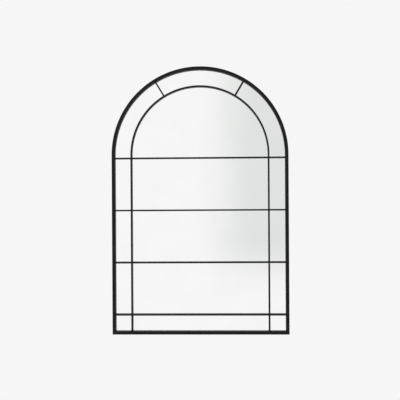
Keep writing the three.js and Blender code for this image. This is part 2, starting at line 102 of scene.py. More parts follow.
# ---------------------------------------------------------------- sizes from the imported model


def middle_of(node: str) -> tuple[float, float]:
    """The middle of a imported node's box, as x and z."""
    low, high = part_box(node)
    return (low.x + high.x) / 2, (low.z + high.z) / 2


def nodes_with(prefix: str) -> list[str]:
    """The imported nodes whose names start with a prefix, in order."""
    return sorted(node for node in frame["nodes"] if node.startswith(prefix))


class Side(Enum):
    """The two sides of the mirror, as the sign of their x."""

    LEFT = -1
    RIGHT = 1

    @property
    def word(self) -> str:
        """The side as it stands in the nodes' names."""
        return self.name.lower()


@dataclass(frozen=True)
class Layout:
    """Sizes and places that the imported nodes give."""

    half_width: float
    spring: float  # height of the arches' centre
    front: float  # depth of the frame's front face
    rebate: float  # depth of the hollow's back, where the glass lies
    flange_back: float
    face: float
    flange: float
    bar: float
    inner_radius: float  # outer edge of the inner arch and the uprights
    glass_inset: float
    board_back: float

    @classmethod
    def read(cls) -> "Layout":
        """Reads the sizes from the nodes' boxes.

        Returns:
            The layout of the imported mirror.
        """
        arch_low, arch_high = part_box("frame_arch")
        glass_low, glass_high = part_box("mirror_glass")
        inner_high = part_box("inner_arch_bar")[1]
        upright_low, upright_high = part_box("inner_upright_right")
        return cls(
            half_width=arch_high.x,
            spring=arch_low.z,
            front=arch_low.y,
            rebate=glass_low.y,
            flange_back=arch_high.y,
            face=arch_high.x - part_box("crossbar_spring")[1].x,
            flange=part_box("setting_block_left")[0].z,
            bar=upright_high.x - upright_low.x,
            inner_radius=inner_high.x,
            glass_inset=arch_high.x - glass_high.x,
            board_back=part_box("back_board")[1].y,
        )

    @property
    def opening_half(self) -> float:
        """Half of the clear width inside the frame."""
        return self.half_width - self.face


@dataclass(frozen=True)
class Station:
    """A place on the frame's outer face, with the angle of its outward direction from +X to +Z."""

    x: float
    z: float
    angle: float

    @classmethod
    def at_screw(cls, node: str, inset: float, layout: Layout) -> "Station":
        """Works a place out from the screw that goes in there.

        Args:
            node: name of the screw's node.
            inset: how far in from the outer face the screw goes.
            layout: sizes of the mirror.

        Returns:
            The place on the outer face, straight outwards from the screw.
        """
        x, z = middle_of(node)
        if z > layout.spring:
            angle = math.atan2(z - layout.spring, x)
        elif z < layout.face:
            angle = -QUARTER_TURN
        else:
            angle = 0.0 if x > 0 else math.pi
        return cls(x + inset * math.cos(angle), z + inset * math.sin(angle), angle)

    def matrix(self) -> Matrix:
        """Takes a piece made with its outer face on x = 0, inside towards -X, to this place."""
        return Matrix.Translation((self.x, 0, self.z)) @ Matrix.Rotation(-self.angle, 4, "Y")


# ---------------------------------------------------------------- surfaces


def grid_of(*coordinates: Array | float) -> Array:
    """Points from one array for each coordinate, all spread to the same shape."""
    return np.stack(np.broadcast_arrays(*coordinates), axis=-1)


def rounded_outline(corners: Array, radii: Array | float, steps: int = ROUNDING_STEPS) -> Array:
    """A closed outline with each corner replaced by an arc.

    An arc's centre lies on the bisector of its corner, radius / sin(half the corner's angle) away. The arc
    turns the centre's first spoke into its last one by spherical interpolation, in even steps.

    Args:
        corners: points in a plane, (..., corners, 2), where any leading axes hold further outlines.
        radii: the radius at each corner, broadcast to (..., corners).
        steps: straight steps in an arc.

    Returns:
        Points of shape (..., corners * (steps + 1), 2).
    """
    to_last = np.roll(corners, 1, axis=-2) - corners
    to_next = np.roll(corners, -1, axis=-2) - corners
    to_last /= np.linalg.norm(to_last, axis=-1, keepdims=True)
    to_next /= np.linalg.norm(to_next, axis=-1, keepdims=True)
    half = np.arccos(np.clip((to_last * to_next).sum(-1), -1, 1)) / 2
    bisector = to_last + to_next
    bisector /= np.linalg.norm(bisector, axis=-1, keepdims=True)
    radii = np.broadcast_to(radii, half.shape)
    centre = corners + bisector * (radii / np.sin(half))[..., None]
    reach = (radii / np.tan(half))[..., None]
    first = (corners + to_last * reach - centre)[..., None, :]
    last = (corners + to_next * reach - centre)[..., None, :]
    turn = (math.pi - 2 * half)[..., None, None]
    share = np.linspace(0, 1, steps + 1)[:, None]
    spokes = (np.sin((1 - share) * turn) * first + np.sin(share * turn) * last) / np.sin(turn)
    return (centre[..., None, :] + spokes).reshape(*corners.shape[:-2], -1, 2)


def rectangle(
    low_x: Array | float, high_x: Array | float, low_y: Array | float, high_y: Array | float
) -> Array:
    """The corners of a rectangle, (..., 4, 2); any of its bounds may be arrays of the same leading shape."""
    xs, ys = grid_of(low_x, high_x, high_x, low_x), grid_of(low_y, low_y, high_y, high_y)
    return grid_of(xs, ys).astype(float)


def eased_ends(length: float, radius: float, steps: int) -> tuple[Array, Array]:
    """Where the sections of a bar with rounded ends stand, and how far each is drawn in.

    Over a quarter turn the place along the bar goes as radius * (1 - cos), the inset as radius * (1 - sin).

    Args:
        length: length of the bar.
        radius: radius of the rounding, and the inset of its end faces.
        steps: sections in each rounding.

    Returns:
        The places along the bar, and the inset at each.
    """
    turn = np.linspace(0, QUARTER_TURN, steps + 1)
    place = radius * (1 - np.cos(turn))
    inset = radius * (1 - np.sin(turn))
    return np.concatenate([place, length - place[::-1]]), np.concatenate([inset, inset[::-1]])


def turned(profile: Array, columns: int = TURNED_COLUMNS) -> Array:
    """A profile of (radius, depth) turned about the depth axis, as a grid of (profile point, angle).

    Args:
        profile: points of (radius, depth), (points, 2).
        columns: points in the turn.

    Returns:
        Points, (profile points, columns, 3).
    """
    angle = np.linspace(0, FULL_TURN, columns, endpoint=False)
    radius, depth = profile[:, :1], profile[:, 1:]
    return grid_of(radius * np.cos(angle), depth, radius * np.sin(angle))


@dataclass(frozen=True)
class BentLine:
    """A strip's middle line seen from its edge: points in a plane, and the unit normal at each."""

    points: Array
    normals: Array

    @classmethod
    def folded(cls, corners: Array, radius: float, steps: int = 6) -> "BentLine":
        """A line folded at each inner corner over a radius.

        The arcs are those of a rounded outline through the corners. At a point of an arc the normal is the
        spoke of the arc, turned to the side that lies left of the way along.

        Args:
            corners: the corners, both ends among them, (corners, 2).
            radius: bend radius of the middle line.
            steps: straight steps in a bend.

        Returns:
            The line, with its ends where the corners say.
        """
        radii = np.full(len(corners), radius)
        radii[[0, -1]] = 0
        points = rounded_outline(corners, radii, steps)[steps:-steps]
        legs = np.diff(corners, axis=0)
        heading = np.arctan2(legs[:, 1], legs[:, 0])
        bend = np.linspace(heading[:-1], heading[1:], steps + 1, axis=-1).ravel()
        heading = np.concatenate([heading[:1], bend, heading[-1:]])
        return cls(points, grid_of(-np.sin(heading), np.cos(heading)))

    @classmethod
    def rolled(cls, tail: float, radius: float, end: float, steps: int = 28) -> "BentLine":
        """A straight tail that comes up on the left of the origin and rolls over it.

        Args:
            tail: length of the straight part.
            radius: radius of the roll's middle line.
            end: angle at which the roll ends, clockwise from the left.
            steps: straight steps in the roll.

        Returns:
            The line, from the tail's lower end to the end of the roll.
        """
        angle = np.linspace(math.pi, end, steps + 1)
        spoke = grid_of(np.cos(angle), np.sin(angle))
        start = np.array([[-radius, -tail]])
        return cls(np.concatenate([start, radius * spoke]), np.concatenate([spoke[:1], spoke]))

    def strip(self, half_width: float, thickness: float, corner: float, edge: float) -> Array:
        """A strip along the line, with rounded corners at its ends and eased edges.

        A quarter turn from an end the half width grows as half width - corner * (1 - sin) at the distance
        corner * (1 - cos). Every section is a rounded rectangle of that width.

        Args:
            half_width: half of the strip's width.
            thickness: thickness, centred on the line.
            corner: radius of the corners at both ends.
            edge: radius of the long edges.

        Returns:
            A grid of points (across the plane's first axis, width, plane's second axis).
        """
        run = np.concatenate([[0], np.cumsum(np.linalg.norm(np.diff(self.points, axis=0), axis=1))])
        turn = np.linspace(0, QUARTER_TURN, STRIP_CORNER_STEPS + 1)
        ends = corner * (1 - np.cos(turn))
        places = np.unique(np.round(np.concatenate([run[1:-1], ends, run[-1] - ends]), PLACE_DECIMALS))
        gap = np.minimum(np.minimum(places, run[-1] - places), corner)
        half = half_width - corner + np.sqrt(np.maximum(corner**2 - (corner - gap) ** 2, 0))
        section = rounded_outline(rectangle(-half, half, -thickness / 2, thickness / 2), edge, EDGE_STEPS)
        width, height = section[..., 0], section[..., 1]
        across = [np.interp(places, run, self.points[:, i])[:, None]
                  + np.interp(places, run, self.normals[:, i])[:, None] * height for i in (0, 1)]
        return grid_of(across[0], width, across[1])


class Ends(Enum):
    """How the first and last rows of a grid are closed."""

    CAPPED = "a flat face on each"
    LOOPED = "joined to each other"
    BARE = "nothing is added, as each is a single point or a free rim"


@dataclass(frozen=True)
class Shell:
    """A surface: its points, and its faces as lists of point numbers."""

    points: Array
    faces: list[list[int]]

    @classmethod
    def of_grid(cls, grid: Array, ends: Ends = Ends.CAPPED) -> "Shell":
        """Closes a grid whose columns already go round.

        Args:
            grid: points, (rows, columns, 3).
            ends: how the first and last rows are closed.

        Returns:
            The shell, in quads and up to two end faces.
        """
        rows, columns = grid.shape[:2]
        row = np.arange(rows if ends is Ends.LOOPED else rows - 1)[:, None]
        column = np.arange(columns)[None, :]
        next_row, next_column = (row + 1) % rows, (column + 1) % columns
        corners = [row * columns + column, row * columns + next_column,
                   next_row * columns + next_column, next_row * columns + column]
        faces = np.stack(corners, axis=-1).reshape(-1, 4).tolist()
        if ends is Ends.CAPPED:
            faces += [list(range(columns)), list(range((rows - 1) * columns, rows * columns))]
        return cls(grid.reshape(-1, 3), faces)

    def moved(self, x: float, y: float, z: float) -> "Shell":
        """The same shell further along."""
        return Shell(self.points + np.array([x, y, z]), self.faces)


@dataclass(frozen=True)
class Hole:
    """A round hole along the depth."""

    x: float
    z: float
    radius: float
    front: float
    back: float

    def shell(self) -> Shell:
        """The hole as a solid pin.

        Returns:
            The pin, closed to a point in the middle of both ends.
        """
        profile = grid_of(np.array([0, self.radius, self.radius, 0]),
                          np.array([self.front, self.front, self.back, self.back]))
        return Shell.of_grid(turned(profile), Ends.BARE).moved(self.x, 0, self.z)


def mesh_of(name: str, *shells: Shell) -> Mesh:
    """One mesh from several shells: equal points merged, collapsed faces dropped, faces turned outwards.

    Args:
        name: name of the mesh.
        shells: surfaces that don't touch each other.

    Returns:
        The mesh.
    """
    starts = np.cumsum([0] + [len(shell.points) for shell in shells])
    points = np.concatenate([shell.points for shell in shells])
    faces = [[start + i for i in face]
             for start, shell in zip(starts.tolist(), shells) for face in shell.faces]
    mesh = bpy.data.meshes.new(name)
    mesh.from_pydata(points.tolist(), [], faces)
    form = bmesh.new()
    form.from_mesh(mesh)
    bmesh.ops.remove_doubles(form, verts=form.verts, dist=MERGE_DISTANCE)
    bmesh.ops.dissolve_degenerate(form, edges=form.edges, dist=MERGE_DISTANCE)
    bmesh.ops.recalc_face_normals(form, faces=form.faces)
    form.to_mesh(mesh)
    form.free()
    return mesh


def drilled(mesh: Mesh, holes: Sequence[Hole]) -> Mesh:
    """The mesh with holes cut through it.

    Args:
        mesh: a closed mesh.
        holes: what to cut away.

    Returns:
        A new mesh of the same name.
    """
    body = bpy.data.objects.new(mesh.name, mesh)
    pins = bpy.data.objects.new("pins", mesh_of("pins", *[hole.shell() for hole in holes]))
    for thing in (body, pins):
        bpy.context.scene.collection.objects.link(thing)
    cut = body.modifiers.new("holes", "BOOLEAN")
    cut.operation, cut.solver, cut.object = "DIFFERENCE", "EXACT", pins
    bored = bpy.data.meshes.new_from_object(body.evaluated_get(bpy.context.evaluated_depsgraph_get()))
    for thing in (body, pins):
        bpy.data.objects.remove(thing)
    return bored


# ---------------------------------------------------------------- finishes


def linear(code: str) -> tuple[float, float, float, float]:
    """An sRGB hex colour such as "1c1c1d" as linear red, green and blue, with an alpha of 1.

    By the sRGB standard a part up to 0.04045 is divided by 12.92, and above it goes as
    ((part + 0.055) / 1.055) ^ 2.4.

    Args:
        code: the colour's six hex digits.

    Returns:
        Red, green, blue and alpha, each from 0 to 1.
    """
    srgb = [int(code[i:i + 2], 16) / 255 for i in (0, 2, 4)]
    red, green, blue = (c / 12.92 if c <= 0.04045 else ((c + 0.055) / 1.055) ** 2.4 for c in srgb)
    return red, green, blue, 1.0


def add_node(tree: bpy.types.NodeTree, kind: str, values: Values | None = None) -> Node:
    """Adds a node with its settings and incoming links.

    Args:
        tree: the node tree.
        kind: the node's type without its "ShaderNode" prefix.
        values: a lower-case name is a property of the node, and any other name, or a number, one of its
            inputs. An input is linked if its value is an output, or a node, whose first output it takes.

    Returns:
        The new node.
    """
    node = tree.nodes.new("ShaderNode" + kind)
    for key, value in (values or {}).items():
        if isinstance(key, str) and key[0].islower():
            setattr(node, key, value)
        elif isinstance(value, (Node, Socket)):
            tree.links.new(value.outputs[0] if isinstance(value, Node) else value, node.inputs[key])
        else:
            node.inputs[key].default_value = value
    return node


def blank(owner: bpy.types.Material | bpy.types.World) -> Add:
    """Clears the nodes of a material or a world, and gives what adds new ones.

    Args:
        owner: what has the nodes.

    Returns:
        A function that takes a node's kind and values, as add_node does.
    """
    owner.use_nodes = True
    owner.node_tree.nodes.clear()
    return partial(add_node, owner.node_tree)


def per_metre(size_mm: float) -> float:
    """The Scale of a texture whose features are this many millimetres apart."""
    return 1 / (size_mm * MM)


class Grain(NamedTuple):
    """Cloudy noise: the size of its largest features, and how many finer layers lie on them."""

    size_mm: float
    detail: float

    def at(self, place: Source) -> Values:
        """The values of a noise texture that is read at a place."""
        scale = per_metre(self.size_mm)
        return {"Vector": place, "Scale": scale, "Detail": self.detail, "Roughness": NOISE_ROUGHNESS}


class Span(NamedTuple):
    """A range that is carried to another one, smoothly and without leaving it."""

    low: float
    high: float
    first: float = 0.0
    last: float = 1.0

    def of(self, value: Source) -> Values:
        """The values of a map range that is fed by a value."""
        return {"interpolation_type": "SMOOTHSTEP", "Value": value, "From Min": self.low,
                "From Max": self.high, "To Min": self.first, "To Max": self.last}


def over(share: Source, below: Source | str, above: str) -> Values:
    """The values of a mix that lays a share of one colour over another; its result is output MIXED."""
    under = linear(below) if isinstance(below, str) else below
    return {"data_type": "RGBA", 0: share, MIX_UNDER: under, MIX_OVER: linear(above)}


@dataclass(frozen=True)
class Finish:
    """A finish that covers pieces: its name, and the record's slot that it stands for."""

    name: str
    slot: str

    def material(self) -> bpy.types.Material:
        """The finish as a material, made the first time that it is asked for.

        Returns:
            The material.
        """
        known = bpy.data.materials.get(self.name)
        if known is not None:
            return known
        made = bpy.data.materials.new(self.name)
        add = blank(made)
        shader = add("BsdfPrincipled", self.dress(add, add("TexCoord").outputs["Object"]))
        add("OutputMaterial", {"Surface": shader})
        return made

    def dress(self, add: Add, place: Socket) -> Values:
        """The values of the shader's inputs; each finish works them out in its own way."""
        raise NotImplementedError


@dataclass(frozen=True)
class PowderCoat(Finish):
    """Polyester powder coat, sprayed dry and baked: satin, near black, with a fine orange peel."""

    body: str = "0b0b0c"
    thin: str = "111112"  # where the coat is thinner, it is a little greyer
    scuff: str = "2a2a2b"
    clouds: Grain = Grain(35, 4)
    thinning: Span = Span(0.35, 0.7)
    scratches: Grain = Grain(2.5, 5)
    scratch_stretch: Triple = (1, 1, 4)
    worn: Span = Span(0.74, 0.8, 0, 0.6)
    patches: Grain = Grain(9, 3)
    roughness: Span = Span(0.3, 0.7, 0.42, 0.52)
    peel: Grain = Grain(0.8, 1)  # real peel is about 0.4 mm; drawn coarser so that it shows
    peel_depth_mm: float = 0.006
    specular: float = 0.16

    def dress(self, add: Add, place: Socket) -> Values:
        """Cloudy coat with sparse light scuffs over an orange-peel bump.

        Args:
            add: adds a node of a kind, with its values.
            place: where patterns are read.

        Returns:
            The values of the shader's inputs.
        """
        thin = add("MapRange", self.thinning.of(add("TexNoise", self.clouds.at(place))))
        coat = add("Mix", over(thin, self.body, self.thin)).outputs[MIXED]
        drawn = add("Mapping", {"vector_type": "TEXTURE", "Vector": place, "Scale": self.scratch_stretch})
        scuffed = add("MapRange", self.worn.of(add("TexNoise", self.scratches.at(drawn))))
        peel = add("TexNoise", self.peel.at(place))
        return {
            "Base Color": add("Mix", over(scuffed, coat, self.scuff)).outputs[MIXED],
            "Roughness": add("MapRange", self.roughness.of(add("TexNoise", self.patches.at(place)))),
            "Normal": add("Bump", {"Height": peel, "Strength": 1.0, "Distance": self.peel_depth_mm * MM}),
            "Specular IOR Level": self.specular,
        }


@dataclass(frozen=True)
class SilveredGlass(Finish):
    """Float glass silvered at the back: the eye sees the silver, so it is a metal, with a trace of green."""

    silver: str = "fbfbfb"
    haze: str = "f8f9f8"
    clouds: Grain = Grain(160, 2)
    hazing: Span = Span(0.35, 0.65)
    wiping: Grain = Grain(45, 4)
    wipe_stretch: Triple = (3, 1, 1)
    roughness: Span = Span(0.5, 0.8, 0, 0.008)

    def dress(self, add: Add, place: Socket) -> Values:
        """A clear mirror with what a wiping cloth leaves behind.

        Args:
            add: adds a node of a kind, with its values.
            place: where patterns are read.

        Returns:
            The values of the shader's inputs.
        """
        hazed = add("MapRange", self.hazing.of(add("TexNoise", self.clouds.at(place))))
        drawn = add("Mapping", {"vector_type": "TEXTURE", "Vector": place, "Scale": self.wipe_stretch})
        return {
            "Base Color": add("Mix", over(hazed, self.silver, self.haze)).outputs[MIXED],
            "Roughness": add("MapRange", self.roughness.of(add("TexNoise", self.wiping.at(drawn)))),
            "Metallic": 1.0,
        }


@dataclass(frozen=True)
class Hardboard(Finish):
    """Tempered hardboard, smooth side out: pressed brown wood fibre, oiled and slightly shiny."""

    dark: str = "6b4b31"
    light: str = "7d5b3e"
    fleck: str = "432d1c"
    strand: str = "9c7850"
    fibres: Grain = Grain(0.7, 4)  # real fibres are about 0.1 mm thick; drawn coarser so that they show
    fibre_stretch: Triple = (7, 1, 1)
    fibre_turns: tuple[float, ...] = (0.3, 1.3, 2.4)  # radians; the fibres lie in all directions
    clouds: Grain = Grain(60, 6)
    pressing: Span = Span(0.3, 0.7)
    pale_fibres: Span = Span(0.52, 0.8, 0, 0.6)
    specks: Grain = Grain(2.2, 4)
    speckling: Span = Span(0.6, 0.7, 0, 0.55)
    roughness: Span = Span(0.4, 0.8, 0.48, 0.66)
    relief_mm: float = 0.03
    specular: float = 0.3

    def dress(self, add: Add, place: Socket) -> Values:
        """Felted fibres in all directions, the highest on top, under a cloudy pressing, with dark flecks.

        Args:
            add: adds a node of a kind, with its values.
            place: where patterns are read.

        Returns:
            The values of the shader's inputs.
        """
        layers = []
        for turn in self.fibre_turns:
            laid = add("Mapping", {"vector_type": "TEXTURE", "Vector": place, "Rotation": (0, turn, 0),
                                   "Scale": self.fibre_stretch})
            layers.append(add("TexNoise", self.fibres.at(laid)))
        felt = layers[0]
        for layer in layers[1:]:
            felt = add("Math", {"operation": "MAXIMUM", 0: felt, 1: layer})
        pressed = add("MapRange", self.pressing.of(add("TexNoise", self.clouds.at(place))))
        tone = add("Mix", over(pressed, self.dark, self.light)).outputs[MIXED]
        tone = add("Mix", over(add("MapRange", self.pale_fibres.of(felt)), tone, self.strand)).outputs[MIXED]
        flecked = add("MapRange", self.speckling.of(add("TexNoise", self.specks.at(place))))
        return {
            "Base Color": add("Mix", over(flecked, tone, self.fleck)).outputs[MIXED],
            "Roughness": add("MapRange", self.roughness.of(felt)),
            "Normal": add("Bump", {"Height": felt, "Strength": 1.0, "Distance": self.relief_mm * MM}),
            "Specular IOR Level": self.specular,
        }


@dataclass(frozen=True)
class ZincPlate(Finish):
    """Steel with bright electroplated zinc: a metal, satin, cloudy, with a faint straw and blue cast."""

    bright: str = "cfd2d4"
    dull: str = "b6babd"
    straw: str = "cbc5ac"
    clouds: Grain = Grain(7, 4)
    dulling: Span = Span(0.35, 0.7)
    tint: Grain = Grain(12, 3)
    tinting: Span = Span(0.5, 0.75, 0, 0.5)
    rolling: Grain = Grain(0.35, 3)
    rolling_stretch: Triple = (1, 1, 14)
    roughness: Span = Span(0.4, 1.5, 0.24, 0.42)
    relief_mm: float = 0.006

    def dress(self, add: Add, place: Socket) -> Values:
        """Plating clouds, straw-coloured passivation and the fine lines of the rolled strip.

        Args:
            add: adds a node of a kind, with its values.
            place: where patterns are read.

        Returns:
            The values of the shader's inputs.
        """
        dulled = add("MapRange", self.dulling.of(add("TexNoise", self.clouds.at(place))))
        tone = add("Mix", over(dulled, self.bright, self.dull)).outputs[MIXED]
        tinted = add("MapRange", self.tinting.of(add("TexNoise", self.tint.at(place))))
        drawn = add("Mapping", {"vector_type": "TEXTURE", "Vector": place, "Scale": self.rolling_stretch})
        lines = add("TexNoise", self.rolling.at(drawn))
        rough = add("Math", {"operation": "ADD", 0: dulled, 1: lines})
        return {
            "Base Color": add("Mix", over(tinted, tone, self.straw)).outputs[MIXED],
            "Roughness": add("MapRange", self.roughness.of(rough)),
            "Normal": add("Bump", {"Height": lines, "Strength": 1.0, "Distance": self.relief_mm * MM}),
            "Metallic": 1.0,
        }


@dataclass(frozen=True)
class MouldedRubber(Finish):
    """Moulded black rubber: matt from the mould's grain, with a grey bloom of dust."""

    body: str = "1a1a1b"
    bloom: str = "323231"
    dust: Grain = Grain(4, 5)
    dusting: Span = Span(0.45, 0.75, 0, 0.8)
    roughness: Span = Span(0, 1, 0.66, 0.85)
    skin: Grain = Grain(0.6, 2)
    relief_mm: float = 0.04
    specular: float = 0.4

    def dress(self, add: Add, place: Socket) -> Values:
        """A grained skin that holds dust in places.

        Args:
            add: adds a node of a kind, with its values.
            place: where patterns are read.

        Returns:
            The values of the shader's inputs.
        """
        dusty = add("MapRange", self.dusting.of(add("TexNoise", self.dust.at(place))))
        skin = add("TexNoise", self.skin.at(place))
        return {
            "Base Color": add("Mix", over(dusty, self.body, self.bloom)).outputs[MIXED],
            "Roughness": add("MapRange", self.roughness.of(dusty)),
            "Normal": add("Bump", {"Height": skin, "Strength": 1.0, "Distance": self.relief_mm * MM}),
            "Specular IOR Level": self.specular,
        }


@dataclass(frozen=True)
class FoamTape(Finish):
    """Closed-cell polyethylene foam: off-white, matt, with small cut cells."""

    wall: str = "d9d7cf"
    # painted shade: the colour at the hollow middle of each cell
    cell: str = "b9b6ac"
    cell_mm: float = 0.7
    deepening: Span = Span(0.02, 0.35)  # from a wall to the middle of its cell
    roughness: Span = Span(0, 1, 0.98, 0.8)
    hollowing: Span = Span(0, 1, 1, 0)
    relief_mm: float = 0.15

    def dress(self, add: Add, place: Socket) -> Values:
        """Cells with paler walls, each darkened towards its hollow middle with painted shade.

        Args:
            add: adds a node of a kind, with its values.
            place: where patterns are read.

        Returns:
            The values of the shader's inputs.
        """
        scale = per_metre(self.cell_mm)
        cells = add("TexVoronoi", {"feature": "DISTANCE_TO_EDGE", "Vector": place, "Scale": scale})
        depth = add("MapRange", self.deepening.of(cells.outputs["Distance"]))
        height = add("MapRange", self.hollowing.of(depth))
        return {
            # the colour darkens with the depth into each cell: painted shade in the hollows
            "Base Color": add("Mix", over(depth, self.wall, self.cell)).outputs[MIXED],
            "Roughness": add("MapRange", self.roughness.of(depth)),
            "Normal": add("Bump", {"Height": height, "Strength": 1.0, "Distance": self.relief_mm * MM}),
        }


POWDER_COAT = PowderCoat("satin_powder_coat", "black_paint")
SILVERED_GLASS = SilveredGlass("silvered_float_glass", "mirror_glass")
HARDBOARD = Hardboard("tempered_hardboard", "hardboard")
ZINC_PLATE = ZincPlate("bright_zinc_plate", "zinc_plate")
RUBBER = MouldedRubber("moulded_rubber", "rubber")
FOAM = FoamTape("polyethylene_foam", "foam_tape")


# ---------------------------------------------------------------- pieces


def add_piece(
    node: str, making: str, mesh: Mesh, finish: Finish, body: str = "frame", crease: float = 34.0
) -> None:
    """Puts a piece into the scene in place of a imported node, and names it for the node and its making.

    Args:
        node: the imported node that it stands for.
        making: how the piece is made.
        mesh: its mesh, in place.
        finish: what covers it.
        body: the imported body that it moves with.
        crease: edges that turn by more degrees than this stay sharp.
    """
    name = f"{node}_{making}"
    mesh.shade_smooth()
    mesh.set_sharp_from_angle(angle=math.radians(crease))
    mesh.materials.clear()
    mesh.materials.append(finish.material())
    piece = bpy.data.objects.new(name, mesh)
    bpy.context.scene.collection.objects.link(piece)
    weighted = piece.modifiers.new("flat_faces_stay_flat", "WEIGHTED_NORMAL")
    weighted.keep_sharp = True
    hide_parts(node)
    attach(piece, body)
    LOG.info("%s: %d faces in %s, on %s", name, len(mesh.polygons), finish.name, body)


def dress_node(node: str, finish: Finish) -> None:
    """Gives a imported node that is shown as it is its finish.

    Args:
        node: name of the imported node.
        finish: what covers it.
    """
    for place in frame["nodes"][node].material_slots:
        place.material = finish.material()
    LOG.info("%s: packed shape in %s", node, finish.name)


@dataclass(frozen=True)
class WeldedFrame:
    """The outer frame: a hollow section with a rebate flange, as an arch, two stiles and a mitred rail."""

    layout: Layout
    finish: Finish = POWDER_COAT
    edge: float = 1.0 * MM  # radius of the rolled section's front and inner edges
    lip: float = 0.45 * MM  # radius of the flange's edges
    root: float = 0.6 * MM  # radius in the corner between hollow and flange
    groove: float = 0.12 * MM  # depth of the fine line left where two members meet
    arc_steps: int = 180

    def section(self, inset: Array) -> Array:
        """The section as (distance in from the outer face, depth), drawn in by an inset on every side.

        Args:
            inset: one inset for each section wanted.

        Returns:
            Points, (sections, points, 2).
        """
        lay = self.layout
        corners = np.array([
            [0, lay.front], [lay.face, lay.front], [lay.face, lay.rebate],
            [lay.flange, lay.rebate], [lay.flange, lay.flange_back], [0, lay.flange_back]])
        inwards = np.array([[1, 1], [-1, 1], [-1, -1], [-1, -1], [-1, -1], [1, -1]])
        radii = np.array([self.edge, self.edge, self.edge, self.root, self.lip, self.lip])
        return rounded_outline(corners + inwards * np.reshape(inset, (-1, 1, 1)), radii)

    def straight(self, length: float) -> tuple[Array, Array, Array]:
        """The sections of a straight member, drawn in at both ends.

        Args:
            length: length of the member.

        Returns:
            The share of the way along as a column, and each point's distance in from the outer face and its
            depth, as grids.
        """
        place, inset = eased_ends(length, self.groove, 1)
        section = self.section(inset)
        return place[:, None] / length, section[..., 0], section[..., 1]

    def stile(self, side: Side) -> Array:
        """A stile: its section goes from the mitre, where height equals inset, up to the spring line.

        Args:
            side: which of the two.

        Returns:
            Points, (sections, points, 3).
        """
        share, inset, depth = self.straight(self.layout.spring)
        x = side.value * (self.layout.half_width - inset)
        return grid_of(x, depth, inset + (self.layout.spring - inset) * share)

    def rail(self) -> Array:
        """The bottom rail: mitred at both ends, so that it is as much shorter as its section lies in.

        Returns:
            Points, (sections, points, 3).
        """
        share, inset, depth = self.straight(2 * self.layout.half_width)
        x = (2 * share - 1) * (self.layout.half_width - inset)
        return grid_of(x, depth, inset)

    def arch(self) -> Array:
        """The arch: the section carried round a half circle about the arches' centre.

        Returns:
            Points, (sections, points, 3).
        """
        lay = self.layout
        length = math.pi * lay.half_width
        ends, inset = eased_ends(length, self.groove, 1)
        inner = np.linspace(0, 1, self.arc_steps + 1)[1:-1]
        share = np.concatenate([ends[:2] / length, inner, ends[2:] / length])
        inset = np.concatenate([inset[:2], np.zeros(self.arc_steps - 1), inset[2:]])
        section = self.section(inset)
        radius, angle = lay.half_width - section[..., 0], math.pi * share[:, None]
        return grid_of(radius * np.cos(angle), section[..., 1], lay.spring + radius * np.sin(angle))

    def build(self, holes: Sequence[Hole]) -> None:
        """Builds the four members, each with the screw holes that lie in it.

        Args:
            holes: every screw hole in the frame.
        """
        members = {"frame_arch": self.arch(), "frame_bottom_rail": self.rail()}
        members |= {f"frame_stile_{side.word}": self.stile(side) for side in Side}
        for name, grid in members.items():
            low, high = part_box(name)
            inside = [hole for hole in holes if low.x < hole.x < high.x and low.z < hole.z < high.z]
            mesh = drilled(mesh_of(name, Shell.of_grid(grid)), inside)
            add_piece(name, "coated", mesh, self.finish)


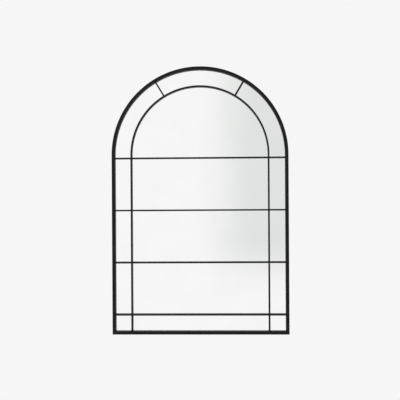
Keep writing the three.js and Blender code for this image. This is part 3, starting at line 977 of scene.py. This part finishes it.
@dataclass(frozen=True)
class BarGrid:
    """The flat bars in front of the glass: inner arch, uprights, crossbars and two radial bars."""

    layout: Layout
    finish: Finish = POWDER_COAT
    front_edge: float = 0.6 * MM
    back_edge: float = 0.25 * MM
    groove: float = 0.1 * MM
    arc_steps: int = 144

    def section(self, low: float, high: float, inset: Array) -> Array:
        """A bar's section as (across, depth), drawn in by an inset on its two sides and its front.

        Args:
            low: one side of the bar.
            high: its other side.
            inset: one inset for each section wanted.

        Returns:
            Points, (sections, points, 2).
        """
        lay = self.layout
        corners = rectangle(low + inset, high - inset, lay.front + inset, lay.rebate)
        edges = np.array([self.front_edge, self.front_edge, self.back_edge, self.back_edge])
        return rounded_outline(corners, edges, EDGE_STEPS)

    def lapped(self, low: float, high: float, start: float, stop: float, laps: Array, lap_depth: float,
               at_front: bool) -> tuple[Array, Array, Array]:
        """A straight bar with a notch wherever another bar laps over or under it.

        The section stands twice at each side of a notch, once with its full depth and once with the depth
        that is left, so the notch has square walls. In a notch the half of the section that is cut is moved
        to the depth of the lap.

        Args:
            low: lower side of the bar.
            high: upper side of the bar.
            start: where the bar begins.
            stop: where it ends.
            laps: both sides of each notch along the bar, in order, (notches, 2).
            lap_depth: depth of the plane where the two bars meet.
            at_front: True if the notches are cut into the front.

        Returns:
            The place along the bar as a column, and the place across it and the depth as grids.
        """
        lay = self.layout
        ends, inset = eased_ends(stop - start, self.groove, 1)
        cuts = np.repeat(laps.ravel(), 2)
        along = np.concatenate([start + ends[:2], cuts, start + ends[2:]])
        cut = np.concatenate([[0, 0], np.tile([0, 1, 1, 0], len(laps)), [0, 0]])[:, None]
        inset = np.concatenate([inset[:2], np.zeros(len(cuts)), inset[2:]])
        section = self.section(low, high, inset)
        across, depth = section[..., 0], section[..., 1]
        middle = (lay.front + lay.rebate) / 2
        taken = depth < middle if at_front else depth > middle
        shift = lap_depth - (lay.front if at_front else lay.rebate)
        return along[:, None], across, depth + cut * taken * shift

    def crossbar(self, name: str) -> Array:
        """A crossbar, notched at the back where it lies over the uprights.

        Args:
            name: name of the bar's node.

        Returns:
            Points, (sections, points, 3).
        """
        low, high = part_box(name)
        lay = self.layout
        outer, inner = lay.inner_radius, lay.inner_radius - lay.bar
        laps = np.array([[-outer, -inner], [inner, outer]])
        along, across, depth = self.lapped(low.z, high.z, low.x, high.x, laps, self.lap_depth(), False)
        return grid_of(along, depth, across)

    def upright(self, side: Side, crossbars: Sequence[str]) -> Array:
        """An upright, notched at the front where the crossbars lie over it.

        Args:
            side: which of the two.
            crossbars: names of the crossbars' nodes.

        Returns:
            Points, (sections, points, 3).
        """
        low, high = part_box(f"inner_upright_{side.word}")
        laps = np.array(sorted((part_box(name)[0].z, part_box(name)[1].z) for name in crossbars))
        along, across, depth = self.lapped(low.x, high.x, low.z, high.z, laps, self.lap_depth(), True)
        return grid_of(across, depth, along)

    def lap_depth(self) -> float:
        """The depth where crossbars and uprights meet: halfway through them."""
        return (self.layout.front + self.layout.rebate) / 2

    def inner_arch(self) -> Array:
        """The inner arch: its section carried round a half circle, on the uprights.

        Returns:
            Points, (sections, points, 3).
        """
        lay = self.layout
        angle = np.linspace(0, math.pi, self.arc_steps + 1)
        section = self.section(lay.inner_radius - lay.bar, lay.inner_radius, np.zeros(len(angle)))
        radius, angle = section[..., 0], angle[:, None]
        return grid_of(radius * np.cos(angle), section[..., 1], lay.spring + radius * np.sin(angle))

    def radial(self, side: Side) -> Array:
        """A short bar between the arches, whose ends follow the arches' curves.

        The box's middle gives the direction. At a distance c to the side of the bar's middle line, an arch of
        radius r is met sqrt(r * r - c * c) along it.

        Args:
            side: which of the two.

        Returns:
            Points, (2, points, 3).
        """
        lay = self.layout
        low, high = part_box(f"radial_bar_{side.word}")
        lean = math.atan2((low.x + high.x) / 2, (low.z + high.z) / 2 - lay.spring)
        section = self.section(-lay.bar / 2, lay.bar / 2, np.zeros(2))
        across, depth = section[..., 0], section[..., 1]
        reach = np.array([[lay.inner_radius], [lay.opening_half]])
        along = np.sqrt(reach**2 - across**2)
        x = along * math.sin(lean) + across * math.cos(lean)
        z = lay.spring + along * math.cos(lean) - across * math.sin(lean)
        return grid_of(x, depth, z)

    def build(self) -> None:
        """Builds the nine bars."""
        crossbars = nodes_with("crossbar_")
        bars = {name: self.crossbar(name) for name in crossbars}
        bars["inner_arch_bar"] = self.inner_arch()
        for side in Side:
            bars[f"inner_upright_{side.word}"] = self.upright(side, crossbars)
            bars[f"radial_bar_{side.word}"] = self.radial(side)
        for name, grid in bars.items():
            add_piece(name, "coated", mesh_of(name, Shell.of_grid(grid)), self.finish)


@dataclass(frozen=True)
class Glazing:
    """The mirror glass, the board behind it, the tapes between them and the blocks that they stand on."""

    block_finish: Finish = RUBBER
    block_edge: float = 0.8 * MM

    def block(self, node: str) -> Array:
        """A setting block: a rounded rectangle of (depth, height) along x, with rounded ends.

        Args:
            node: name of the block's node.

        Returns:
            Points, (sections, points, 3).
        """
        low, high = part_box(node)
        place, inset = eased_ends(high.x - low.x, self.block_edge, ROUNDING_STEPS)
        corners = rectangle(low.y + inset, high.y - inset, low.z + inset, high.z - inset)
        section = rounded_outline(corners, self.block_edge)
        return grid_of(low.x + place[:, None], section[..., 0], section[..., 1])

    def build(self) -> None:
        """Dresses the glass, the board and the tapes, and builds the blocks."""
        dress_node("mirror_glass", SILVERED_GLASS)
        dress_node("back_board", HARDBOARD)
        for node in nodes_with("foam_tape_"):
            dress_node(node, FOAM)
        for node in nodes_with("setting_block_"):
            add_piece(node, "moulded", mesh_of(node, Shell.of_grid(self.block(node))), self.block_finish)


@dataclass(frozen=True)
class PanHeadScrew:
    """A pan-head screw with a cross recess, turned and pressed from wire."""

    radius: float
    head_radius: float
    head_height: float
    length: float
    rim: float = 0.8 * MM  # height of the head's straight side
    tip: float = 1.5 * MM  # length of the point
    slot_width: float = 0.9 * MM
    slot_length: float = 3.4 * MM
    slot_depth: float = 1.2 * MM
    wall: float = 0.03 * MM  # how far the recess's steep walls lean
    fullness: float = 2.6  # exponent of the head's curve; 2 is a quarter ellipse
    floor_rise: float = 0.4  # share of the recess's depth that its floor rises towards the slots' ends
    slot_rows: int = 4  # rows of points along a slot, outside the middle
    easing: float = 0.2  # share of the head's radius over which the columns change to an even spacing

    @classmethod
    def of_node(cls, node: str, seat: float, radius: float) -> "PanHeadScrew":
        """Reads a screw's head and length from its node's box, given the face under its head."""
        low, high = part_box(node)
        return cls(radius, (high.x - low.x) / 2, high.y - seat, seat - low.y)

    def angles(self, radii: Array) -> Array:
        """The angle of each column at each radius, so that columns follow the sides of the recess.

        A slot of half width w is left behind at the angle asin(w / r), up to 45 degrees. Its wall leans over
        a quarter of that angle at most, to either side. In each eighth of a turn the five columns are the
        slot's middle, both sides of its wall, halfway on, and the diagonal. Beyond the recess they change
        over to an even spacing.

        Args:
            radii: radius of each row.

        Returns:
            Angles, (rows, TURNED_COLUMNS).
        """
        eighth = math.pi / 4
        safe = np.maximum(radii, self.wall)
        side = np.arcsin(np.minimum(self.slot_width / 2 / safe, math.sin(eighth)))
        lean = np.minimum(self.wall / safe / 2, side / 4)
        cut = np.minimum(grid_of(0, side - lean, side + lean, (side + eighth) / 2, eighth), eighth)
        even = np.linspace(0, eighth, cut.shape[1])
        share = np.clip((radii - self.slot_length / 2) / (self.easing * self.head_radius), 0, 1)[:, None]
        half = cut + (even - cut) * share
        quarter = np.concatenate([half, 2 * eighth - half[:, -2:0:-1]], axis=1)
        return np.concatenate([quarter + 2 * eighth * i for i in range(QUARTERS)], axis=1)

    def grid(self) -> Array:
        """The whole screw about the depth axis: head up towards +Y from a face at depth 0, shank below.

        The head's height over its rim goes as (1 - (r / R) ^ n) ^ (1 / n). Inside the recess it is the slot's
        floor instead, which rises towards the slot's ends.

        Returns:
            Points, (rows, TURNED_COLUMNS, 3).
        """
        end, corner = self.slot_length / 2, self.slot_width / math.sqrt(2)
        inner = np.array([0, corner / 2, corner - self.wall, corner + self.wall])
        middle = np.linspace(corner + self.wall, end - self.wall / 2, self.slot_rows + 1)[1:]
        rise = np.linspace(math.asin(end / self.head_radius), QUARTER_TURN, DOME_STEPS + 1)[1:]
        outer = self.head_radius * np.sin(rise)
        radii = np.concatenate([inner, middle, [end + self.wall / 2], outer])
        dome = (1 - np.minimum(radii / self.head_radius, 1) ** self.fullness) ** (1 / self.fullness)
        top = self.rim + (self.head_height - self.rim) * dome
        floor = self.head_height - self.slot_depth * (1 - self.floor_rise * (radii / end) ** 2)
        # of a quarter turn's eight columns, the slot's middle and the one on either side of it
        in_slot = np.tile([True, True, False, False, False, False, False, True], QUARTERS)
        recessed = (radii < corner)[:, None] | ((radii < end)[:, None] & in_slot)
        height = np.where(recessed, floor[:, None], top[:, None])
        below = np.array([[self.head_radius, 0], [self.radius, 0], [self.radius, self.tip - self.length],
                          [0, -self.length]])
        radii = np.concatenate([radii, below[:, 0]])
        height = np.concatenate([height, np.repeat(below[:, 1:], TURNED_COLUMNS, axis=1)])
        angle = self.angles(radii)
        return grid_of(radii[:, None] * np.cos(angle), height, radii[:, None] * np.sin(angle))

    def shell(self, node: str, seat: float) -> Shell:
        """The screw where its node stands, its head on the face at the depth of the seat."""
        x, z = middle_of(node)
        return Shell.of_grid(self.grid(), Ends.BARE).moved(x, seat, z)


@dataclass(frozen=True)
class OffsetStrip:
    """A clip or bracket bent from strip: a foot on the frame, a riser, and a tongue over the board."""

    layout: Layout
    node: str  # one of its kind on the left stile, whose box gives the sizes
    screw_node: str
    corner: float
    bend: float
    finish: Finish = ZINC_PLATE
    riser_gap: float = 0.5 * MM  # between riser and glass
    shank_radius: float = 1.75 * MM
    hole_clearance: float = 0.2 * MM
    edge: float = 0.2 * MM
    screw_crease: float = 40.0  # degrees

    @property
    def thickness(self) -> float:
        """Thickness of the strip, which lies flat on the board."""
        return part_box(self.node)[1].y - self.layout.board_back

    @property
    def seat(self) -> float:
        """Depth of the foot's back, where the screw's head sits."""
        return self.layout.rebate + self.thickness

    @property
    def screw_inset(self) -> float:
        """How far in from the frame's outer face the screw goes."""
        return self.layout.half_width + middle_of(self.screw_node)[0]

    def hole(self, x: float, z: float, front: float) -> Hole:
        """A hole for a screw's shank that ends behind the foot."""
        return Hole(x, z, self.shank_radius + self.hole_clearance, front, self.seat + self.thickness)

    def frame_holes(self, screws: Sequence[str]) -> list[Hole]:
        """The holes in the frame for the screws of these nodes."""
        return [self.hole(*middle_of(node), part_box(node)[0].y - self.thickness) for node in screws]

    def mesh(self, offsets: Sequence[float], more: Sequence[Hole] = ()) -> Mesh:
        """The bent strip with its outer face on x = 0.

        The middle line goes along the foot, up the riser half a thickness outside the riser's inner face, and
        along the tongue.

        Args:
            offsets: where the screws go, along the strip's width.
            more: further holes, in the strip's own place.

        Returns:
            The mesh.
        """
        low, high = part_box(self.node)
        lay, half = self.layout, self.thickness / 2
        foot, tongue = -(low.x + lay.half_width), -(high.x + lay.half_width)
        riser = self.riser_gap + half - lay.glass_inset
        corners = np.array([[foot, lay.rebate + half], [riser, lay.rebate + half],
                            [riser, high.y - half], [tongue, high.y - half]])
        line = BentLine.folded(corners, self.bend)
        grid = line.strip((high.z - low.z) / 2, self.thickness, self.corner, self.edge)
        plate = mesh_of(self.node, Shell.of_grid(grid[..., [0, 2, 1]]))
        holes = [self.hole(-self.screw_inset, offset, lay.rebate - self.thickness) for offset in offsets]
        return drilled(plate, [*holes, *more])

    def screws(self, nodes: Sequence[str]) -> None:
        """Builds one screw for each node, all of the same size.

        Args:
            nodes: names of the screws' nodes.
        """
        screw = PanHeadScrew.of_node(self.screw_node, self.seat, self.shank_radius)
        for node in nodes:
            mesh = mesh_of(node, screw.shell(node, self.seat))
            add_piece(node, "pan_head", mesh, self.finish, crease=self.screw_crease)


@dataclass(frozen=True)
class RetainingClips:
    """The clips round the rebate, each with its screw."""

    layout: Layout

    def strip(self) -> OffsetStrip:
        """The pattern of every clip."""
        return OffsetStrip(self.layout, "retaining_clip_stile_left_1", "clip_screw_stile_left_1",
                           corner=2.5 * MM, bend=1.3 * MM)

    def holes(self) -> list[Hole]:
        """The holes for the clips' screws in the frame."""
        return self.strip().frame_holes(nodes_with("clip_screw_"))

    def build(self) -> None:
        """Builds every clip and screw."""
        strip = self.strip()
        pattern = strip.mesh([0.0])
        for node in nodes_with("retaining_clip_"):
            mesh = pattern.copy()
            screw = node.replace("retaining_clip", "clip_screw")
            mesh.transform(Station.at_screw(screw, strip.screw_inset, self.layout).matrix())
            add_piece(node, "bent", mesh, strip.finish)
        strip.screws(nodes_with("clip_screw_"))


@dataclass(frozen=True)
class Hangers:
    """The brackets near the arch's feet, and on each a riveted strap that carries a D-ring."""

    layout: Layout
    finish: Finish = ZINC_PLATE
    strap_thickness: float = 1.2 * MM
    strap_corner: float = 3.5 * MM
    roll_end: float = -55.0  # degrees; the roll stops short of the strap
    rivet_radius: float = 2.0 * MM
    rivet_clearance: float = 0.1 * MM
    ring_corner: float = 3.0 * MM
    ring_crease: float = 60.0  # degrees
    wire_columns: int = 20
    corner_steps: int = 18
    edge: float = 0.25 * MM

    def axis(self, side: Side) -> Vector:
        """A point on the axis that the ring turns about, from its joint."""
        joint = next(joint for joint in frame["joints"] if joint["name"] == f"ring_{side.word}_swing")
        return Vector(joint["pos_m"])

    def strip(self) -> OffsetStrip:
        """The pattern of both brackets."""
        return OffsetStrip(self.layout, "hanger_bracket_left", "bracket_screw_left_1",
                           corner=4.0 * MM, bend=2.0 * MM)

    def middle(self) -> float:
        """Height of the brackets' middle."""
        return middle_of("hanger_bracket_left")[1]

    def screw_offsets(self) -> list[float]:
        """The bracket's screws, from its middle."""
        return [middle_of(node)[1] - self.middle() for node in nodes_with("bracket_screw_left_")]

    def rivets(self, side: Side) -> list[Vector]:
        """The middle of each rivet's box."""
        boxes = [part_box(node) for node in nodes_with(f"strap_rivet_{side.word}_")]
        return [(low + high) / 2 for low, high in boxes]

    def holes(self) -> list[Hole]:
        """The holes for the brackets' screws in the frame."""
        return self.strip().frame_holes(nodes_with("bracket_screw_"))

    def bracket(self, side: Side) -> Mesh:
        """A bracket in place, with holes for its screws and rivets.

        The screws lie as far above its middle as below it, so the same offsets fit both sides.

        Args:
            side: which of the two.

        Returns:
            The mesh.
        """
        strip = self.strip()
        lay = self.layout
        turn = side.value
        radius = self.rivet_radius + self.rivet_clearance
        front, back = lay.board_back - strip.thickness, lay.board_back + 2 * strip.thickness
        rivets = [Hole(abs(at.x) - lay.half_width, turn * (at.z - self.middle()), radius, front, back)
                  for at in self.rivets(side)]
        mesh = strip.mesh(self.screw_offsets(), rivets)
        angle = 0.0 if side is Side.RIGHT else math.pi
        mesh.transform(Station(turn * lay.half_width, self.middle(), angle).matrix())
        return mesh

    def strap(self, side: Side) -> Mesh:
        """A strap: flat on its bracket, its upper end rolled round the ring's straight side.

        Args:
            side: which of the two.

        Returns:
            The mesh, with holes for its rivets.
        """
        axis = self.axis(side)
        low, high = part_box(f"hanger_strap_{side.word}")
        radius = high.z - axis.z - self.strap_thickness / 2
        line = BentLine.rolled(axis.z - low.z, radius, math.radians(self.roll_end))
        grid = line.strip((high.x - low.x) / 2, self.strap_thickness, self.strap_corner, self.edge)
        shell = Shell.of_grid(grid[..., [1, 0, 2]]).moved(*axis)
        holes = [Hole(at.x, at.z, self.rivet_radius + self.rivet_clearance, low.y - self.strap_thickness,
                      low.y + 2 * self.strap_thickness) for at in self.rivets(side)]
        return drilled(mesh_of(f"strap_{side.word}", shell), holes)

    def rivet(self, node: str, seat: float) -> Shell:
        """A rivet: a flat set end on the board, a shank, and a domed head, a quarter ellipse in section.

        Args:
            node: name of the rivet's node.
            seat: depth of the face under its head.

        Returns:
            The rivet in place.
        """
        low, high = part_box(node)
        radius = (high.x - low.x) / 2
        turn = np.linspace(0, QUARTER_TURN, DOME_STEPS + 1)
        dome = grid_of(radius * np.cos(turn), seat + (high.y - seat) * np.sin(turn))
        shank = np.array([[0, low.y], [self.rivet_radius, low.y], [self.rivet_radius, seat]])
        x, z = middle_of(node)
        return Shell.of_grid(turned(np.concatenate([shank, dome])), Ends.BARE).moved(x, 0, z)

    def ring(self, side: Side) -> Shell:
        """A D-ring of round wire.

        The middle line is a rectangle whose lower corners have half its width as their radius. A point of the
        wire at the angle v lies on that outline grown by r * cos(v), and r * sin(v) out of its plane.

        Args:
            side: which of the two.

        Returns:
            The ring in place.
        """
        axis = self.axis(side)
        low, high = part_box(f"hanger_ring_{side.word}")
        wire = (high.y - low.y) / 2
        half = (high.x - low.x) / 2 - wire
        drop = axis.z - low.z - wire
        angle = np.linspace(0, FULL_TURN, self.wire_columns, endpoint=False)
        grown = wire * np.cos(angle)
        corners = rectangle(-half - grown, half + grown, -drop - grown, grown)
        radii = np.array([half, half, self.ring_corner, self.ring_corner]) + grown[:, None]
        outline = rounded_outline(corners, radii, self.corner_steps)
        grid = grid_of(outline[..., 0], wire * np.sin(angle)[:, None], outline[..., 1])
        return Shell.of_grid(grid.transpose(1, 0, 2), Ends.LOOPED).moved(*axis)

    def build(self) -> None:
        """Builds both hangers."""
        for side in Side:
            word = side.word
            add_piece(f"hanger_bracket_{word}", "bent", self.bracket(side), self.finish)
            self.strip().screws(nodes_with(f"bracket_screw_{word}_"))
            strap = f"hanger_strap_{word}"
            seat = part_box(strap)[0].y + self.strap_thickness
            add_piece(strap, "rolled", self.strap(side), self.finish)
            for node in nodes_with(f"strap_rivet_{word}_"):
                add_piece(node, "domed", mesh_of(node, self.rivet(node, seat)), self.finish)
            node = f"hanger_ring_{word}"
            wire = mesh_of(node, self.ring(side))
            add_piece(node, "wire", wire, self.finish, f"ring_{word}", self.ring_crease)


@dataclass(frozen=True)
class WallBumpers:
    """Four tapered rubber buttons that keep the mirror off the wall."""

    finish: Finish = RUBBER
    top_radius: float = 6.5 * MM
    shoulder_round: float = 1.0 * MM
    rim_round: float = 0.6 * MM
    foot_round: float = 0.3 * MM
    dish_radius: float = 2.2 * MM
    dish_depth: float = 1.6 * MM
    columns: int = 40

    def shell(self, node: str) -> Shell:
        """One button: a rounded profile turned about the depth, with the hole of its pin in the wall side.

        Args:
            node: name of the button's node.

        Returns:
            The button in place.
        """
        low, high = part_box(node)
        radius = (high.x - low.x) / 2
        shoulder = high.y - (radius - self.top_radius)
        dish = high.y - self.dish_depth
        corners = np.array([
            [0, low.y], [radius, low.y], [radius, shoulder], [self.top_radius, high.y],
            [self.dish_radius, high.y], [self.dish_radius, dish], [0, dish]])
        foot = self.foot_round
        rounds = np.array([0, foot, self.shoulder_round, self.rim_round, foot, foot, 0])
        grid = turned(rounded_outline(corners, rounds), self.columns)
        x, z = middle_of(node)
        return Shell.of_grid(grid, Ends.BARE).moved(x, 0, z)

    def build(self) -> None:
        """Builds the four buttons."""
        for node in nodes_with("wall_bumper_"):
            add_piece(node, "moulded", mesh_of(node, self.shell(node)), self.finish)


# ---------------------------------------------------------------- studio


@dataclass(frozen=True)
class Lamp:
    """A square soft lamp: where it hangs, its size and its power."""

    name: str
    place: Triple
    size: float
    watts: float

    def hang(self, target: Vector) -> None:
        """Hangs the lamp so that it faces a point.

        Args:
            target: the point.
        """
        light = bpy.data.lights.new(self.name, "AREA")
        light.shape, light.size, light.energy = "SQUARE", self.size, self.watts
        lamp = bpy.data.objects.new(self.name, light)
        bpy.context.scene.collection.objects.link(lamp)
        lamp.location = self.place
        lamp.rotation_mode = "QUATERNION"
        lamp.rotation_quaternion = (target - Vector(self.place)).to_track_quat("-Z", "Y")


@dataclass(frozen=True)
class Studio:
    """A pale room with soft lamps, a floor below the hung mirror, and the camera.

    The edges of what the mirror shows are slopes from straight ahead of it, to the right and upwards.
    """

    backdrop: str = "f6f6f6"
    panel: str = "e0e2e1"  # a grey board off to the right, which the mirror shows
    panel_left: Span = Span(-0.045, 0.045)
    panel_low: Span = Span(-0.135, -0.045)
    panel_high: Span = Span(0.37, 0.87, 1, 0)
    dim_side: str = "8f9291"  # the unlit side of the room beyond the board
    dimming: Span = Span(0.2, 1.2)
    front_fade: Span = Span(0.05, 0.25)  # of a direction's part straight ahead
    least_ahead: float = 0.05  # keeps the slopes finite
    sky_level: float = 0.72  # strength of the even light on what is lit
    glossy_level: float = 1.045  # strength of the room that glossy surfaces see
    floor_drop: float = 0.9  # below the mirror, which hangs on a wall
    floor_radius: float = 2.6
    floor_rings: int = 24
    floor_columns: int = 96
    floor_fade: Span = Span(1.0, 2.4)  # metres from the middle
    floor_colour: str = "e8e8e7"
    eye: Triple = (0.121, -3.466, 0.608)
    yaw: float = 0.0350  # radians to the left
    roll: float = 0.0059  # radians
    lens_mm: float = 68.8
    sensor_mm: float = 36.0
    lamps: tuple[Lamp, ...] = (
        Lamp("key_left", (-1.9, -1.9, 3.5), 1.6, 80.0),
        Lamp("fill_right", (2.8, -1.2, 1.8), 1.8, 14.0),
        Lamp("back_top", (-0.8, 2.8, 2.4), 2.0, 34.0),
    )

    def camera(self) -> None:
        """A level camera, turned and rolled a little, as the photograph's was."""
        lens = bpy.data.cameras.new("camera")
        lens.lens, lens.sensor_width = self.lens_mm, self.sensor_mm
        eye = bpy.data.objects.new("camera", lens)
        bpy.context.scene.collection.objects.link(eye)
        turn = Matrix.Rotation(self.yaw, 4, "Z") @ Matrix.Rotation(QUARTER_TURN, 4, "X")
        eye.matrix_world = Matrix.Translation(self.eye) @ turn @ Matrix.Rotation(-self.roll, 4, "Z")
        bpy.context.scene.camera = eye

    def room(self) -> None:
        """The world: the pale backdrop to the camera, mirrors and glass, and an even light to what is lit."""
        world = bpy.data.worlds.new("studio")
        bpy.context.scene.world = world
        add = blank(world)
        ray = add("LightPath").outputs
        shown = add("Math", {"operation": "ADD", "use_clamp": True,
                             0: ray["Is Glossy Ray"], 1: ray["Is Transmission Ray"]})
        lit = add("Background", {"Color": (1, 1, 1, 1), "Strength": self.sky_level})
        gloss = add("Background", {"Color": self.seen_by_gloss(add), "Strength": self.glossy_level})
        plain = add("Background", {"Color": linear(self.backdrop), "Strength": 1.0})
        light = add("MixShader", {0: shown, 1: lit, 2: gloss})
        both = add("MixShader", {0: ray["Is Camera Ray"], 1: light, 2: plain})
        add("OutputWorld", {"Surface": both})

    def seen_by_gloss(self, add: Add) -> Socket:
        """The room as the mirror shows it, by direction.

        It is pale, with a soft grey board and a dim side on the right, all in front of the mirror.

        Args:
            add: adds a node of a kind, with its values, to the world.

        Returns:
            The colour.
        """
        way = add("SeparateXYZ", {0: add("TexCoord").outputs["Generated"]}).outputs
        ahead = add("Math", {"operation": "MULTIPLY", 0: way["Y"], 1: -1.0})
        front = add("MapRange", self.front_fade.of(ahead))
        ahead = add("Math", {"operation": "MAXIMUM", 0: ahead, 1: self.least_ahead})
        right = add("Math", {"operation": "DIVIDE", 0: way["X"], 1: ahead})
        rise = add("Math", {"operation": "DIVIDE", 0: way["Z"], 1: ahead})
        board: Source = front
        for edge in (self.panel_left.of(right), self.panel_low.of(rise), self.panel_high.of(rise)):
            board = add("Math", {"operation": "MULTIPLY", 0: board, 1: add("MapRange", edge)})
        dim = add("Math", {"operation": "MULTIPLY", 0: front, 1: add("MapRange", self.dimming.of(right))})
        shown = add("Mix", over(board, self.backdrop, self.panel)).outputs[MIXED]
        return add("Mix", over(dim, shown, self.dim_side)).outputs[MIXED]

    def floor(self) -> None:
        """A round floor that fades into the backdrop with the distance from below the mirror."""
        radius = np.linspace(0, self.floor_radius, self.floor_rings)[:, None]
        angle = np.linspace(0, FULL_TURN, self.floor_columns, endpoint=False)
        grid = grid_of(radius * np.cos(angle), radius * np.sin(angle), -self.floor_drop)
        mesh = mesh_of("floor", Shell.of_grid(grid, Ends.BARE))
        mesh.materials.append(self.floor_material())
        floor = bpy.data.objects.new("floor", mesh)
        bpy.context.scene.collection.objects.link(floor)

    def floor_material(self) -> bpy.types.Material:
        """Matt pale paint, clear towards the rim, where the backdrop shows instead.

        Returns:
            The material.
        """
        made = bpy.data.materials.new("pale_floor_paint")
        add = blank(made)
        place = add("TexCoord").outputs["Object"]
        flat = add("VectorMath", {"operation": "MULTIPLY", 0: place, 1: (1, 1, 0)})
        away = add("VectorMath", {"operation": "LENGTH", 0: flat}).outputs["Value"]
        fade = add("MapRange", self.floor_fade.of(away))
        paint = add("BsdfDiffuse", {"Color": linear(self.floor_colour)})
        mixed = add("MixShader", {0: fade, 1: paint, 2: add("BsdfTransparent")})
        add("OutputMaterial", {"Surface": mixed})
        return made

    def build(self) -> None:
        """Sets the whole stage."""
        bpy.context.scene.view_settings.view_transform = "Standard"
        self.room()
        self.floor()
        target = (Vector(CAD_BOUNDS[0]) + Vector(CAD_BOUNDS[1])) / 2
        for lamp in self.lamps:
            lamp.hang(target)
        self.camera()
        LOG.info("studio: %d lamps, floor %.2f m below the mirror", len(self.lamps), self.floor_drop)


def main() -> None:
    """Builds the studio and every sub-assembly, from the frame to what hangs on it."""
    logging.basicConfig(level=logging.INFO, format="%(name)s %(message)s")
    Studio().build()
    layout = Layout.read()
    clips, hangers = RetainingClips(layout), Hangers(layout)
    WeldedFrame(layout).build([*clips.holes(), *hangers.holes()])
    BarGrid(layout).build()
    Glazing().build()
    clips.build()
    hangers.build()
    WallBumpers().build()


if __name__ == "__main__":
    main()
